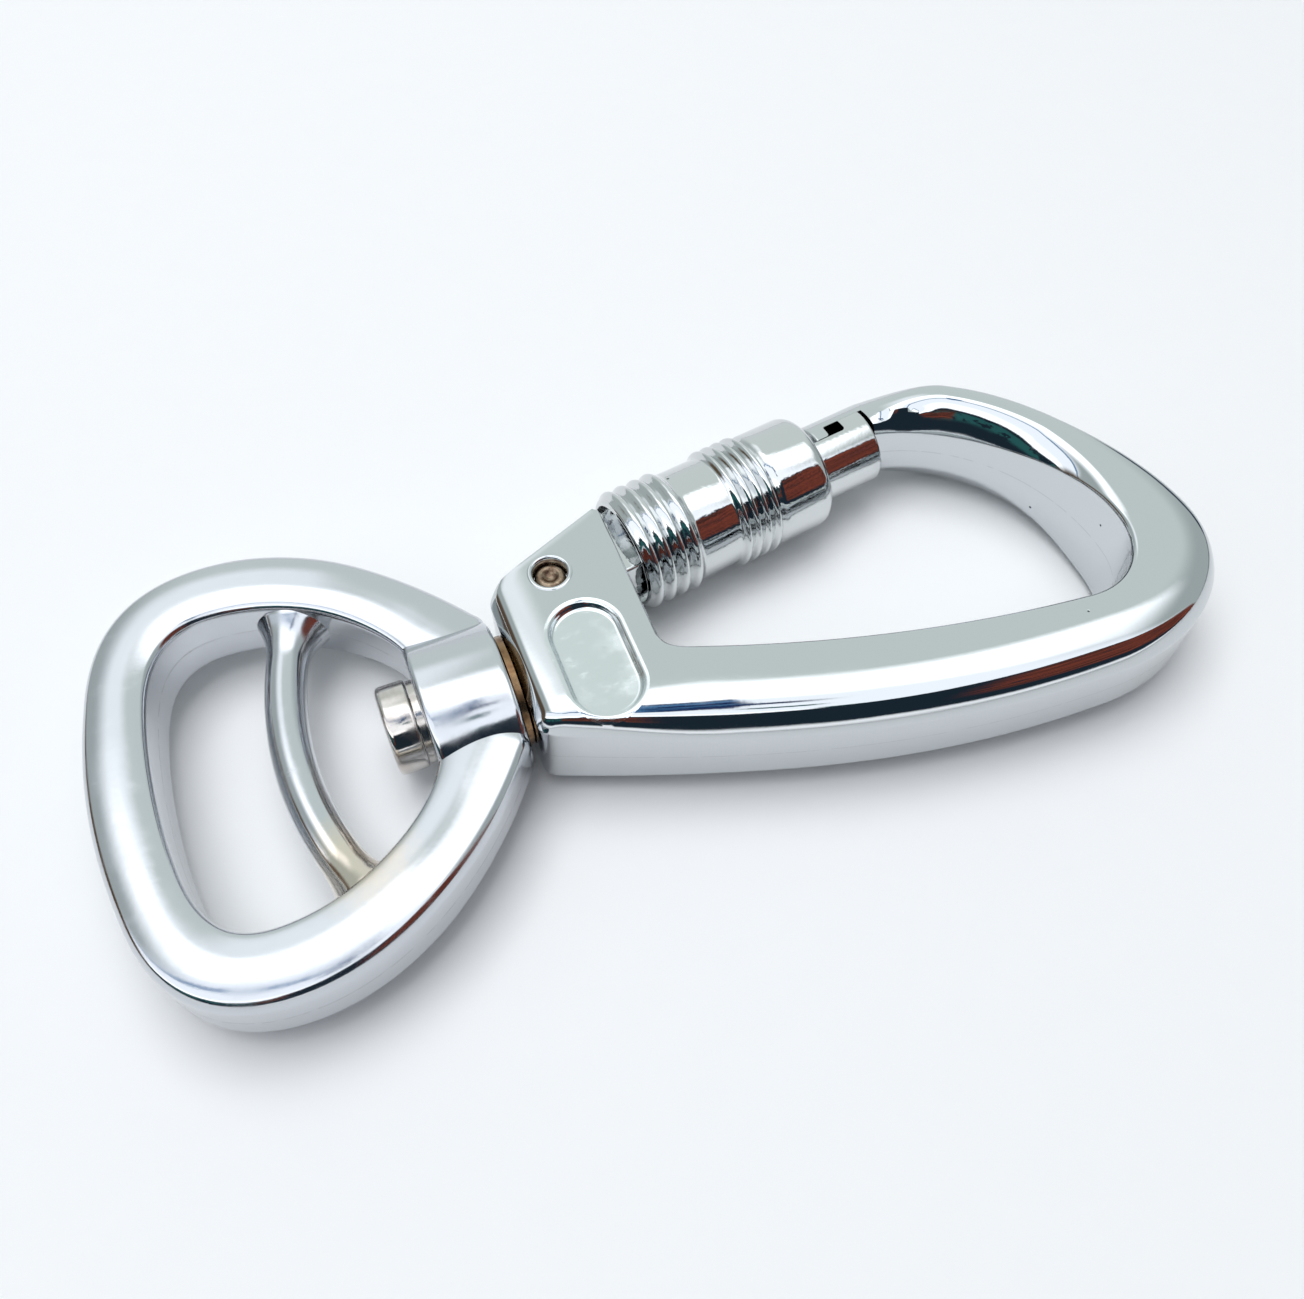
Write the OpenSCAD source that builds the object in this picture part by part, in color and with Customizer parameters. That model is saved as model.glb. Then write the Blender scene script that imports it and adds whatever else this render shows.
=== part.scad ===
// Swivel snap shackle with a hinged gate, a screw-down locking sleeve
// and a webbing eye that turns on a swivel bolt.
// Design frame: x = 0 on the end face of the hook's base block, with the
// far bend at +x and the webbing eye at -x. y = 0 and z = 0 on the swivel axis.
// The finished part is moved so that the origin lies under its middle.

/* [Hook] */
// Thickness of the hook casting
hook_t = 10; // [9.6:0.2:10.6]
// Distance from the base block's end face to the far bend
hook_len = 57.2; // [56.8:0.1:57.6]
// Width of the base block's straight edge, measured along the swivel axis
block_len = 11; // [10.9:0.1:11.2]
// Diameter of the swivel bolt's blind hole in the base block
bolt_hole_d = 4.04; // [4.02:0.01:4.1]

/* [Gate] */
// Angle between the closed gate and the swivel axis
gate_angle = 9; // [8.5:0.1:9.5]
// Diameter of the round gate bar
bar_d = 7; // [6.8:0.05:7]
// Offset of the gate bar's centre line from the hinge pin
bar_off = 2; // [1.8:0.1:2.2]
// Distance from the hinge pin to the tip of the gate
gate_len = 32; // [31.6:0.1:32.1]
// Diameter of the hinge pin
pin_d = 2.5; // [2.3:0.05:2.6]
// Angle by which the gate opens
gate_open = 28; // [20:1:28]

/* [Sleeve] */
// Outer diameter over the grip rings
sleeve_d = 10.8; // [10.6:0.1:11]
// Length of the sleeve
sleeve_len = 18.6; // [18:0.1:18.6]
// Clearance between the sleeve's bore and the gate bar, per side
sleeve_gap = 0.08; // [0.05:0.01:0.1]

/* [Webbing eye] */
// Thickness of the eye's frame
eye_t = 6.8; // [6:0.2:7.2]
// Reach of the eye from the base block's end face
eye_len = 32.2; // [31.8:0.1:32.6]
// Diameter of the crossbar
crossbar_d = 2.9; // [2.6:0.1:3.2]
// Diameter of the swivel bolt's shank
bolt_d = 4; // [3.9:0.02:4]

/* [Hidden] */
$fn = 48;

cut = 1;                       // how far a cutting shape runs past a face
curve_steps = 12;              // straight steps in each curved stretch
half_t = hook_t / 2;
sleeve_r = sleeve_d / 2;
x_mid = (hook_len - eye_len) / 2;

// Hinge
pivot = [5.2, 6.3];            // centre of the hinge pin
tongue_t = 5;                  // thickness of the gate's hinge tongue
slot_t = tongue_t + 0.2;       // width of the fork slot
tongue_half_w = 3.4;
tongue_end = 10;
eye_r = 2.6;                   // radius of the tongue round the pin
pin_gap = 0.06;                // running clearance of the gate on its pin
rivet_sink = 0.15;             // depth of the rivet's ends below the faces
countersink_r = 1.75;
countersink_depth = 0.5;

// Lap joint between the gate and the nose
bar_r = bar_d / 2;
nose_r = bar_r - 0.1;
nose_tip = 27;                 // distances along the gate from the hinge pin
tooth_end = 28.3;
shoulder = 32.5;
neck_start = 25.7;
head_start = 29.9;
nose_face = 0.95;              // heights above the gate bar's centre line
tooth_face = -0.2;
head_face = 0.85;
neck_face = -0.35;

// Sleeve
sleeve_start = 7.5;
sleeve_wide_bore_r = 4.4;
sleeve_wide_bore_len = 5.1;
sleeve_bore_r = bar_r + sleeve_gap;
ring_h = 0.5;                  // height of a grip ring above the sleeve
stop_ring_r = 4.2;
stop_ring_t = 0.5;
stop_groove_r = 3.1;
drag_ring_wire_r = 0.3;
drag_ring_r = bar_r - 0.25;
drag_groove_r = drag_ring_r - drag_ring_wire_r - 0.04;
drag_ring_at = 22;

// Plunger and spring in the base block
plunger_x = 9;
plunger_r = 1.2;
plunger_bore_r = plunger_r + 0.07;
plunger_len = 2.3;             // straight part, below the round tip
bore_floor_y = -3.8;
spring_r = 0.9;                // radius of the coil's centre line
wire_r = 0.17;
spring_turns = 6;
coil_steps = 14;               // straight steps in each turn
wire_sides = 6;

// Swivel
hub_end = -0.65;
hub_start = -7.55;
hub_half_w = 6.7;
hub_t = 9.6;
bush_wall = 0.55;
bolt_gap = 0.06;
head_r = 3.55;
head_len = 2.4;
head_chamfer = 0.45;
axial_gap = 0.05;
washer_t = 0.5;
bolt_hole_len = 7.2;
crossbar_x = -17.7;            // centre of the crossbar on the swivel axis
crossbar_bend_r = 29;

// A cubic curve from a to d, without its last point
function curve(a, b, c, d) = [
    for (i = [0 : curve_steps - 1])
        let (t = i / curve_steps, u = 1 - t)
            u * u * u * a + 3 * u * u * t * b + 3 * u * t * t * c + t * t * t * d
];

// A point of the gate's own frame, in the design frame
function on_gate(along, across) = [
    pivot[0] + along * cos(gate_angle) - across * sin(gate_angle),
    pivot[1] + along * sin(gate_angle) + across * cos(gate_angle)
];

function mirrored(points) = [
    for (i = [len(points) - 1 : -1 : 0]) [points[i][0], -points[i][1]]
];

// ---------- placing ----------

module placed() {
    translate([-x_mid, 0, sleeve_r]) children();
}

// From the gate's frame: x along the gate, y outwards, origin at the pin
module in_gate_frame() {
    translate([pivot[0], pivot[1], 0]) rotate([0, 0, gate_angle]) children();
}

// A turned shape whose axis is the gate bar's centre line
module round_the_bar(start) {
    translate([start, bar_off, 0]) rotate([90, 0, 90]) children();
}

// A turned shape along +x on the swivel axis
module along_swivel(start) {
    translate([start, 0, 0]) rotate([0, 90, 0]) children();
}

module ring(r_out, r_in, h) {
    difference() {
        cylinder(r = r_out, h = h);
        translate([0, 0, -cut]) cylinder(r = r_in, h = h + 2 * cut);
    }
}

// ---------- hook ----------

far_x = hook_len;
nose_out = on_gate(shoulder, bar_off + nose_r);
nose_in = on_gate(shoulder, 0.5);
nose_lead = 2.5 * [cos(gate_angle), sin(gate_angle)];

hook_outline = concat(
    curve([0.9, -6.7], [14.5, -12.6], [28, -17], [44, -17]),
    curve([44, -17], [51, -17], [far_x, -13], [far_x, -7]),
    curve([far_x, -7], [far_x, -1.5], [52.2, 9.2], [45, 13.4]),
    curve([45, 13.4], [43.2, 14.6], nose_out + nose_lead, nose_out),
    [nose_out],
    curve(nose_in, [44.5, 10.6], [50.4, 3.8], [50.4, -4.8]),
    curve([50.4, -4.8], [50.4, -8.8], [47.4, -11.4], [43.5, -10.9]),
    curve([43.5, -10.9], [34, -10.1], [24, -7.95], [14.2, -4.4]),
    curve([14.2, -4.4], [12.6, -3.85], [block_len, -3.5], [block_len, -1.9]),
    curve([block_len, 10.6], [block_len, 11.1], [10.7, 11.3], [10.2, 11.2]),
    curve([10.2, 11.2], [7.5, 10.8], [3.5, 9.4], [0.7, 7]),
    curve([0.7, 7], [0.2, 6.6], [0, 6.2], [0, 5.6]),
    curve([0, -5.4], [0, -6], [0.3, -6.4], [0.9, -6.7])
);

// The nose: the outer part of a round bar, with a tooth at its tip
module nose() {
    reach = shoulder + cut - nose_tip;
    intersection() {
        round_the_bar(nose_tip) cylinder(r = nose_r, h = reach);
        union() {
            translate([nose_tip - cut, bar_off + nose_face, -half_t])
                cube([reach + 2 * cut, bar_d, hook_t]);
            translate([nose_tip - cut, bar_off + tooth_face, -half_t])
                cube([tooth_end - nose_tip + cut, bar_d, hook_t]);
        }
    }
}

// The fork slot, with room for the tongue over the gate's whole swing
module fork_slot() {
    wall = 1.65;               // distance of the open tongue's wall from the pin
    run = 9;
    back_x = -wall * sin(gate_open);
    back_y = -wall * cos(gate_open);
    linear_extrude(slot_t, center = true) {
        circle(r = eye_r + 0.3);
        polygon([
            [-2.6, 1.2],
            [back_x, back_y],
            [back_x + run * cos(gate_open), back_y - run * sin(gate_open)],
            [run + 2, 0],
            [run, 9],
            [-3.6, 9]
        ]);
    }
}

module countersinks() {
    for (side = [0, 1]) mirror([0, 0, side])
        translate([pivot[0], pivot[1], half_t - countersink_depth])
            cylinder(r1 = pin_d / 2, r2 = countersink_r, h = countersink_depth + 0.001);
}

// The shallow blank pad pressed into the block's upper face
module pad_recess() {
    pad_r = 2.8;
    pad_depth = 0.45;
    pad_half = 2.4;
    translate([5.9, -2.5, half_t - pad_depth]) linear_extrude(pad_depth + cut) {
        translate([0, pad_half]) circle(r = pad_r);
        translate([0, -pad_half]) circle(r = pad_r);
        square([2 * pad_r, 2 * pad_half], center = true);
    }
}

module hook_body() {
    color("silver") placed() difference() {
        union() {
            translate([0, 0, -half_t]) linear_extrude(hook_t) polygon(hook_outline);
            in_gate_frame() nose();
        }
        in_gate_frame() fork_slot();
        translate([pivot[0], pivot[1], -half_t - cut])
            cylinder(d = pin_d + 0.04, h = hook_t + 2 * cut);
        countersinks();
        pad_recess();
        along_swivel(-cut) cylinder(d = bolt_hole_d, h = bolt_hole_len + cut);
        translate([plunger_x, bore_floor_y, 0]) rotate([-90, 0, 0])
            cylinder(r = plunger_bore_r, h = pivot[1] - bore_floor_y);
    }
}

// ---------- gate ----------

// Flat tongue that turns on the pin, trimmed to the block's sloping side
module tongue() {
    low = bar_off - tongue_half_w;
    high = bar_off + tongue_half_w;
    linear_extrude(tongue_t, center = true) {
        circle(r = eye_r);
        polygon([
            [0, low],
            [tongue_end, low],
            [tongue_end, high],
            [8.6, high],
            [-0.8, 2.47]
        ]);
    }
}

// A full-width cutting block over part of the bar, above a given height
module bar_cut(from, to, height) {
    translate([from, bar_off + height, -bar_d])
        cube([to - from, bar_d, 2 * bar_d]);
}

module gate() {
    color("lightgray") placed() in_gate_frame() difference() {
        union() {
            tongue();
            round_the_bar(tongue_end - 0.5) cylinder(r = bar_r, h = gate_len - tongue_end + 0.5);
        }
        bar_cut(neck_start, head_start, neck_face);
        bar_cut(head_start - 0.01, gate_len + cut, head_face);
        translate([0, 0, -half_t]) cylinder(r = pin_d / 2 + pin_gap, h = hook_t);
        round_the_bar(sleeve_start + sleeve_wide_bore_len - 0.1 - stop_ring_t)
            ring(bar_r + cut, stop_groove_r, stop_ring_t);
        round_the_bar(drag_ring_at - 0.4) ring(bar_r + cut, drag_groove_r, 0.8);
    }
}

// Hinge pin, closed at both ends, with a small dimple in each
module gate_rivet() {
    dimple_r = 0.75;
    dimple_depth = 0.45;
    length = hook_t - 2 * rivet_sink;
    color("saddlebrown") placed() translate([pivot[0], pivot[1], 0]) difference() {
        cylinder(d = pin_d, h = length, center = true);
        for (side = [0, 1]) mirror([0, 0, side])
            translate([0, 0, length / 2 - dimple_depth])
                cylinder(r1 = 0.2, r2 = dimple_r, h = dimple_depth + 0.001);
    }
}

// Height at which the round tip of the plunger touches the closed gate
plunger_tip_y = pivot[1] + (plunger_x - pivot[0]) * tan(gate_angle)
    + (bar_off - tongue_half_w - plunger_r - 0.05) / cos(gate_angle);

module gate_plunger() {
    color("dimgray") placed() translate([plunger_x, plunger_tip_y, 0]) {
        sphere(r = plunger_r);
        rotate([90, 0, 0]) cylinder(r = plunger_r, h = plunger_len);
    }
}

// A wire swept along a helix whose axis is +z, with flat closed ends
module helix(radius, wire, turns, height) {
    steps = turns * coil_steps;
    points = [
        for (i = [0 : steps], j = [0 : wire_sides - 1])
            let (
                turn = 360 * i / coil_steps,
                side = 360 * j / wire_sides,
                out = radius + wire * cos(side)
            )
            [out * cos(turn), out * sin(turn), height * i / steps + wire * sin(side)]
    ];
    walls = [
        for (i = [0 : steps - 1], j = [0 : wire_sides - 1])
            let (a = i * wire_sides + j, b = i * wire_sides + (j + 1) % wire_sides)
            [a, a + wire_sides, b + wire_sides, b]
    ];
    first = [for (j = [0 : wire_sides - 1]) j];
    last = [for (j = [wire_sides - 1 : -1 : 0]) steps * wire_sides + j];
    polyhedron(points, concat([first], walls, [last]));
}

module gate_spring() {
    foot = bore_floor_y + wire_r + 0.02;
    top = plunger_tip_y - plunger_len - wire_r - 0.02;
    color("gray") placed() translate([plunger_x, foot, 0]) rotate([-90, 0, 0])
        helix(spring_r, wire_r, spring_turns, top - foot);
}

// ---------- sleeve ----------

module stop_ring() {
    start = sleeve_start + sleeve_wide_bore_len - 0.1 - stop_ring_t;
    color("dimgray") placed() in_gate_frame()
        round_the_bar(start + 0.03) ring(stop_ring_r, stop_groove_r + 0.03, stop_ring_t - 0.06);
}

module drag_ring() {
    color("black") placed() in_gate_frame() round_the_bar(drag_ring_at)
        rotate_extrude() translate([drag_ring_r, 0]) circle(r = drag_ring_wire_r, $fn = 24);
}

// Two sides and the crest of one grip ring, on the sleeve's half section
function grip_ring(base_r, from, pitch) = [
    [base_r, from],
    [base_r + ring_h, from + pitch * 0.3],
    [base_r + ring_h, from + pitch * 0.7]
];

module lock_sleeve() {
    band_r = sleeve_r - ring_h;
    collar_r = sleeve_r - 0.3;
    bevel = 1.1;               // size of the bevel at the collar's end
    end_pitch = 1.35;
    mid_pitch = 1;
    mid_start = 9.2;
    collar_start = mid_start + 4 * mid_pitch;
    profile = concat(
        [[sleeve_wide_bore_r, 0]],
        [[band_r - 0.1, 0]],
        [for (i = [0 : 3]) each grip_ring(band_r, i * end_pitch, end_pitch)],
        [[band_r, 4 * end_pitch]],
        [for (i = [0 : 3]) each grip_ring(band_r, mid_start + i * mid_pitch, mid_pitch)],
        [
            [band_r, collar_start],
            [collar_r, collar_start + 0.3],
            [collar_r, sleeve_len - bevel],
            [collar_r - bevel * 0.3, sleeve_len - bevel * 0.3],
            [collar_r - bevel, sleeve_len],
            [sleeve_bore_r, sleeve_len],
            [sleeve_bore_r, sleeve_wide_bore_len],
            [sleeve_wide_bore_r, sleeve_wide_bore_len]
        ]
    );
    color("silver") placed() in_gate_frame() round_the_bar(sleeve_start)
        rotate_extrude() polygon(profile);
}

// ---------- swivel eye ----------

eye_half = concat(
    curve([-1.4, 6.9], [-5.5, 12.6], [-12.5, 18.9], [-20.5, 18.9]),
    curve([-20.5, 18.9], [-27.5, 18.9], [-30.2, 14.5], [1 - eye_len, 9.5]),
    curve([1 - eye_len, 9.5], [0.3 - eye_len, 6], [-eye_len, 3], [-eye_len, 0])
);

window_half = concat(
    curve([hub_start, 5], [-9, 8.6], [-14.5, 13.4], [-21, 13.4]),
    curve([-21, 13.4], [-24.6, 13.4], [-26.2, 11], [5.4 - eye_len, 7]),
    curve([5.4 - eye_len, 7], [5 - eye_len, 4.5], [4.9 - eye_len, 2], [4.9 - eye_len, 0])
);

module eye_frame() {
    linear_extrude(eye_t, center = true) difference() {
        polygon(concat(eye_half, [[-eye_len, 0]], mirrored(eye_half)));
        polygon(concat(window_half, [[4.9 - eye_len, 0]], mirrored(window_half)));
    }
}

// The hub: a block with fully rounded sides, along the swivel axis
module hub() {
    side_y = hub_half_w - hub_t / 2;
    section = [
        for (i = [0 : 2 * curve_steps + 1])
            let (
                right = i <= curve_steps,
                angle = (right ? i : i - 1) * 180 / curve_steps - 90
            )
            [(right ? 1 : -1) * side_y + hub_t / 2 * cos(angle), hub_t / 2 * sin(angle)]
    ];
    translate([hub_start, 0, 0]) rotate([90, 0, 90]) linear_extrude(hub_end - hub_start)
        polygon(section);
}

// The crossbar: a round bar, bowed away from the hub
module crossbar() {
    half_angle = asin(15 / crossbar_bend_r);
    translate([crossbar_x + crossbar_bend_r, 0, 0]) rotate([0, 0, 180 - half_angle])
        rotate_extrude(angle = 2 * half_angle) translate([crossbar_bend_r, 0])
            circle(d = crossbar_d, $fn = 32);
}

module swivel_eye() {
    color("silver") placed() difference() {
        union() {
            eye_frame();
            hub();
            crossbar();
        }
        along_swivel(hub_start - cut)
            cylinder(r = bolt_d / 2 + bolt_gap + bush_wall + 0.02, h = hub_end - hub_start + 2 * cut);
    }
}

module hub_bush() {
    bore_r = bolt_d / 2 + bolt_gap;
    color("goldenrod") placed() along_swivel(hub_start)
        ring(bore_r + bush_wall, bore_r, hub_end - hub_start);
}

module swivel_bolt() {
    seat = hub_start - axial_gap - washer_t - axial_gap;
    color("rosybrown") placed() along_swivel(seat - head_len) {
        cylinder(r1 = head_r - head_chamfer, r2 = head_r, h = head_chamfer);
        translate([0, 0, head_chamfer]) cylinder(r = head_r, h = head_len - head_chamfer);
        cylinder(d = bolt_d, h = head_len - seat + bolt_hole_len - 0.2);
    }
}

module thrust_washer() {
    color("gold") placed() along_swivel(hub_end + axial_gap)
        ring(4.5, bolt_d / 2 + bolt_gap, washer_t);
}

module head_washer() {
    color("gray") placed() along_swivel(hub_start - axial_gap - washer_t)
        ring(head_r - 0.2, bolt_d / 2 + bolt_gap, washer_t);
}

hook_body();
gate();
gate_rivet();
gate_plunger();
gate_spring();
stop_ring();
drag_ring();
lock_sleeve();
swivel_eye();
hub_bush();
swivel_bolt();
thrust_washer();
head_washer();
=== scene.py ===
# %% [markdown]
# # A chrome snap shackle with a swivelling webbing eye
# The shackle is two zinc castings joined by a swivel bolt. One is a hook with a
# hinged gate and a screw-down locking sleeve, the other an eye for webbing.
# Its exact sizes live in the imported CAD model. This lesson loads that model and
# gives every visible part the rounded edges, domes and finish of the real one.

# %% Load the fixed frame
import math

import bmesh
import bpy
from mathutils import Matrix, Vector
from mathutils.bvhtree import BVHTree
from mathutils.geometry import interpolate_bezier


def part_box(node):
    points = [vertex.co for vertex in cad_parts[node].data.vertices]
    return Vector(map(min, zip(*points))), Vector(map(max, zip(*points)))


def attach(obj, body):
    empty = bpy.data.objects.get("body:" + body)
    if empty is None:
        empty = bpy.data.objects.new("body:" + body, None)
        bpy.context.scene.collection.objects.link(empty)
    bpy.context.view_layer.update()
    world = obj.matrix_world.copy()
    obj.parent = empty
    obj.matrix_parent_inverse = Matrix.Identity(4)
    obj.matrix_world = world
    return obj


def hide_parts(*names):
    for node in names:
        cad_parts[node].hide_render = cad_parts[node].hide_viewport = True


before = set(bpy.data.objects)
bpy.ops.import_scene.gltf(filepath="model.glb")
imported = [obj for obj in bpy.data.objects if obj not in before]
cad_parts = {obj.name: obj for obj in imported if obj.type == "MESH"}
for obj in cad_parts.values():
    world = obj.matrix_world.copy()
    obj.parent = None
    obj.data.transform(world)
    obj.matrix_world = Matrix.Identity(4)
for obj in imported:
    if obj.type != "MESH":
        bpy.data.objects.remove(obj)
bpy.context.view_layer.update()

# %% [markdown]
# ## A drawing frame in millimetres
# The makers' drawing starts at the end face of the hook's base block, on the
# swivel axis. Working in that frame, in millimetres, keeps the numbers readable.
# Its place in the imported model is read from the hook's own box: the end face is
# the box's lowest x, and the swivel axis is half-way up.

# %% From drawing millimetres to the frame's metres
hook_low, hook_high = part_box("hook_body")
axis_height = (hook_low.z + hook_high.z) / 2
TO_FRAME = Matrix.Translation((hook_low.x, 0, axis_height)) @ Matrix.Scale(0.001, 4)

GATE_TILT = math.radians(9)
PIVOT = Vector((5.2, 6.3, 0))
BAR_OFFSET = 2.0
# The gate's frame: x along the gate bar's centre line, y away from the bow
GATE = Matrix.Translation(PIVOT) @ Matrix.Rotation(GATE_TILT, 4, "Z")
BAR = GATE @ Matrix.Translation((0, BAR_OFFSET, 0))
print("end face at x =", round(hook_low.x * 1000, 2), "axis height", round(axis_height * 1000, 2))

# %% [markdown]
# ## Camera
# The camera stands close, as a hand-held one does, so the far bend looks
# smaller than the eye. It sits 87 mm above the table and looks down at 57
# degrees, a little from the left.

# %% The camera
eye_point = Vector((-0.02057, -0.04875, 0.08657))
look = Vector((0.2000, 0.5014, -0.8418)).normalized()
right = Vector((0.9288, -0.3705, 0.0)).normalized()
up = right.cross(look)
turn = math.radians(0.22)
right, up = (right * math.cos(turn) + up * math.sin(turn),
             up * math.cos(turn) - right * math.sin(turn))
camera_data = bpy.data.cameras.new("camera")
camera_data.lens = 33.13
camera_data.sensor_width = 36
camera_data.clip_start = 0.005
camera = bpy.data.objects.new("camera", camera_data)
bpy.context.scene.collection.objects.link(camera)
camera.matrix_world = Matrix.Translation(eye_point) @ Matrix((right, up, -look)).transposed().to_4x4()
bpy.context.scene.camera = camera
bpy.context.scene.view_settings.view_transform = "Standard"
print("camera height in mm:", round(eye_point.z * 1000, 1))

# %% [markdown]
# ## Turning a bmesh into a piece
# Every piece is drawn in millimetres and then moved once, in its mesh, to its
# place in the frame, so its object stays at the origin. Edges sharper than an
# angle are marked sharp and the rest shade smoothly, because chrome shows every
# facet.

# %% Finishing helpers
def tidy_normals(bm, crease=35):
    """Points the faces outwards and marks the edges that should stay crisp."""
    bmesh.ops.remove_doubles(bm, verts=bm.verts, dist=1e-4)
    bmesh.ops.recalc_face_normals(bm, faces=bm.faces)
    for face in bm.faces:
        face.smooth = True
    for edge in bm.edges:
        if len(edge.link_faces) == 2:
            edge.smooth = edge.calc_face_angle() < math.radians(crease)


def new_object(name, bm):
    """A mesh object, still in drawing millimetres."""
    mesh = bpy.data.meshes.new(name)
    bm.to_mesh(mesh)
    bm.free()
    piece = bpy.data.objects.new(name, mesh)
    bpy.context.scene.collection.objects.link(piece)
    return piece


def carve(piece, cutters, operation="DIFFERENCE", crease=35):
    """Cuts shapes out of a piece, or keeps what they share, and removes them."""
    for cutter in cutters:
        modifier = piece.modifiers.new("carve", "BOOLEAN")
        modifier.object = cutter
        modifier.operation = operation
        modifier.solver = "EXACT"
    graph = bpy.context.evaluated_depsgraph_get()
    carved = bpy.data.meshes.new_from_object(piece.evaluated_get(graph))
    piece.modifiers.clear()
    piece.data = carved
    for cutter in cutters:
        bpy.data.objects.remove(cutter)
    bm = bmesh.new()
    bm.from_mesh(piece.data)
    tidy_normals(bm, crease)
    bm.to_mesh(piece.data)
    bm.free()


def merge_pieces(piece, others):
    """Moves the meshes of other pieces into one piece."""
    bm = bmesh.new()
    for part in (piece, *others):
        bm.from_mesh(part.data)
    bm.to_mesh(piece.data)
    bm.free()
    for other in others:
        bpy.data.objects.remove(other)


def place(piece, body, slot, material, *nodes):
    """Moves a finished mesh to its place, gives it its material and hides the CAD parts it replaces."""
    piece.data.transform(TO_FRAME)
    piece.data.materials.clear()
    piece.data.materials.append(material)
    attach(piece, body)
    if nodes:
        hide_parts(*nodes)
    print(piece.name, "faces:", len(piece.data.polygons))


# %% [markdown]
# ## Shader arithmetic
# A material is a graph of nodes. Wrapping a socket in a small class lets a mask
# be written as an ordinary expression, such as 1 - mask.

# %% A wire that can be added and multiplied
class Wire:
    """One output socket, with arithmetic."""

    def __init__(self, graph, socket):
        self.graph, self.socket = graph, socket

    def maths(self, operation, first, second):
        return self.graph.node("ShaderNodeMath", {"operation": operation}, {0: first, 1: second})

    def __add__(self, other):
        return self.maths("ADD", self, other)

    __radd__ = __add__

    def __sub__(self, other):
        return self.maths("SUBTRACT", self, other)

    def __rsub__(self, other):
        return self.maths("SUBTRACT", other, self)

    def __mul__(self, other):
        return self.maths("MULTIPLY", self, other)

    __rmul__ = __mul__

    def __lt__(self, other):
        return self.maths("LESS_THAN", self, other)

    def __gt__(self, other):
        return self.maths("GREATER_THAN", self, other)


class Graph:
    """The node tree of one material or world."""

    def __init__(self, owner):
        owner.use_nodes = True
        self.tree = owner.node_tree
        self.tree.nodes.clear()

    def node(self, kind, settings=None, inputs=None, output=0):
        """Any node: its settings first, then the values or wires of its sockets."""
        node = self.tree.nodes.new(kind)
        for name, value in (settings or {}).items():
            if name == "stops":
                ramp = node.color_ramp
                while len(ramp.elements) < len(value):
                    ramp.elements.new(1)
                for element, (position, colour) in zip(ramp.elements, value):
                    element.position = position
                    element.color = (*colour, 1)
            else:
                setattr(node, name, value)
        for name, value in (inputs or {}).items():
            if isinstance(value, Wire):
                self.tree.links.new(value.socket, node.inputs[name])
            else:
                node.inputs[name].default_value = value
        return Wire(self, node.outputs[output]) if node.outputs else None

    def place(self):
        """Where a point is on the object, in the frame's metres."""
        return self.node("ShaderNodeTexCoord", output="Object")

    def stretched(self, where, scale, turn=(0, 0, 0)):
        return self.node("ShaderNodeMapping", {}, {"Vector": where, "Scale": scale, "Rotation": turn})

    def noise(self, where, scale, detail=2, roughness=0.5):
        return self.node("ShaderNodeTexNoise", {},
                         {"Vector": where, "Scale": scale, "Detail": detail, "Roughness": roughness})

    def between(self, value, low, high):
        """0 below low, 1 above high, and a smooth step between them."""
        return self.node("ShaderNodeMapRange", {"interpolation_type": "SMOOTHSTEP"},
                         {"Value": value, "From Min": low, "From Max": high})

    def blend(self, mask, first, second):
        """A colour that goes from first to second as the mask goes from 0 to 1."""
        return self.node("ShaderNodeMix", {"data_type": "RGBA"},
                         {0: mask, 6: first, 7: second}, output=2)


# %% [markdown]
# ## Chrome
# Bright chrome mirrors its surroundings, so its own colour hardly shows. What
# tells it from a perfect mirror is wear: faint clouds where it has been rubbed,
# a slight orange-peel wave from the casting under it, pin-holes in the plating,
# short nicks, and dark dirt in the deep ones. Each of these is one mask on the
# piece's own coordinates, and each mask feeds colour, roughness or bump.

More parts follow.
